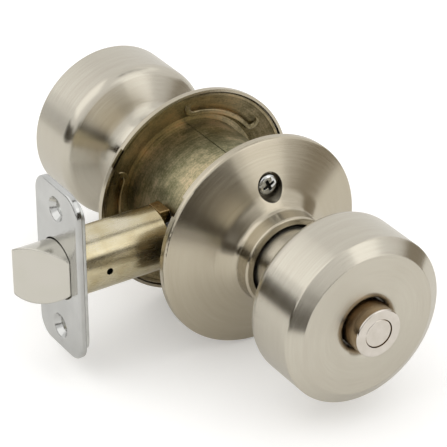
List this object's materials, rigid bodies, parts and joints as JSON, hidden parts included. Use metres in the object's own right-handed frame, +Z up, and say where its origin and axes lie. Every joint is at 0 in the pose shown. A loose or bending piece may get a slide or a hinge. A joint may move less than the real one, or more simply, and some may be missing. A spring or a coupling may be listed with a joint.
{
  "type": "round privacy door knob set",
  "caption": "Round drum knobs on flared roses with a push-button privacy lock, a bored lock body and a spring latch with a rounded faceplate.",
  "frame": {"origin": "where the knob axis crosses the latch axis, at the middle of the door's thickness", "axes": "+Y along the knob axis from the inside knob, with the push button, to the outside knob; -X along the latch towards the door's edge; +Z up"},
  "size_m": [0.1075, 0.159, 0.0698],
  "materials": {
    "satin_nickel": "spun satin",
    "polished_nickel": "polished",
    "zinc_dichromate": "zinc dichromate plating on steel",
    "yellow_zinc": "yellow zinc plating",
    "satin_steel": "satin",
    "spring_steel": "drawn wire",
    "bronze_strip": "dull"
  },
  "bodies": {
    "lock_case": {"chassis_barrel": "zinc_dichromate", "inside_hub": "zinc_dichromate", "outside_hub": "zinc_dichromate", "outside_liner": "zinc_dichromate", "inside_mounting_plate": "zinc_dichromate", "inside_rose": "satin_nickel", "outside_rose": "satin_nickel", "mounting_screws": "polished_nickel", "spring_seat": "satin_steel", "latch_tube": "yellow_zinc", "faceplate": "satin_steel", "backing_plate": "satin_steel", "tube_end_yoke": "bronze_strip", "bolt_spring": "spring_steel", "retractor_springs": "spring_steel"},
    "inside_knob": {"inside_knob_shell": "satin_nickel", "inside_knob_back": "satin_nickel", "inside_knob_insert": "satin_steel", "inside_knob_catch": "spring_steel", "inside_spindle": "satin_steel", "inside_roll_back_cam": "satin_steel", "inside_retaining_ring": "spring_steel", "button_sleeve": "satin_steel", "bar_guide": "satin_steel", "button_spring": "spring_steel"},
    "outside_knob": {"outside_knob_shell": "satin_nickel", "outside_knob_back": "satin_nickel", "outside_knob_insert": "satin_steel", "outside_knob_catch": "spring_steel", "outside_spindle": "satin_steel", "outside_roll_back_cam": "satin_steel", "outside_retaining_ring": "spring_steel", "outside_face_plug": "satin_nickel", "lock_plate": "satin_steel"},
    "push_button": {"push_button": "polished_nickel", "button_disc": "polished_nickel", "locking_bar": "satin_steel"},
    "retractor": {"retractor": "satin_steel"},
    "latch_bolt": {"latch_bolt": "satin_nickel", "bolt_tail": "satin_steel", "tail_pin": "satin_steel"}
  },
  "joints": [
    {"name": "inside_knob_turn", "type": "hinge", "parent": "lock_case", "child": "inside_knob", "pos_m": [0, 0, 0], "axis": [0, 1, 0], "range_deg": [0, 60], "stiffness_Nm_per_rad": 0.2, "springref_deg": -17.19},
    {"name": "outside_knob_turn", "type": "hinge", "parent": "lock_case", "child": "outside_knob", "pos_m": [0, 0, 0], "axis": [0, 1, 0], "range_deg": [0, 60]},
    {"name": "push_button_press", "type": "slide", "parent": "inside_knob", "child": "push_button", "axis": [0, 1, 0], "range_m": [0, 0.004], "stiffness_N_per_m": 400, "springref_m": -0.003, "deforming": ["button_spring"]},
    {"name": "retractor_slide", "type": "slide", "parent": "lock_case", "child": "retractor", "axis": [1, 0, 0], "range_m": [0, 0.0126], "deforming": ["retractor_springs"]},
    {"name": "latch_bolt_slide", "type": "slide", "parent": "lock_case", "child": "latch_bolt", "axis": [1, 0, 0], "range_m": [0, 0.0126], "deforming": ["bolt_spring"]}
  ],
  "couplings": [
    {"joint": "outside_knob_turn", "follows": "inside_knob_turn", "ratio": 1},
    {"joint": "retractor_slide", "follows": "inside_knob_turn", "m_per_rad": 0.01203},
    {"joint": "latch_bolt_slide", "follows": "inside_knob_turn", "m_per_rad": 0.01203}
  ]
}
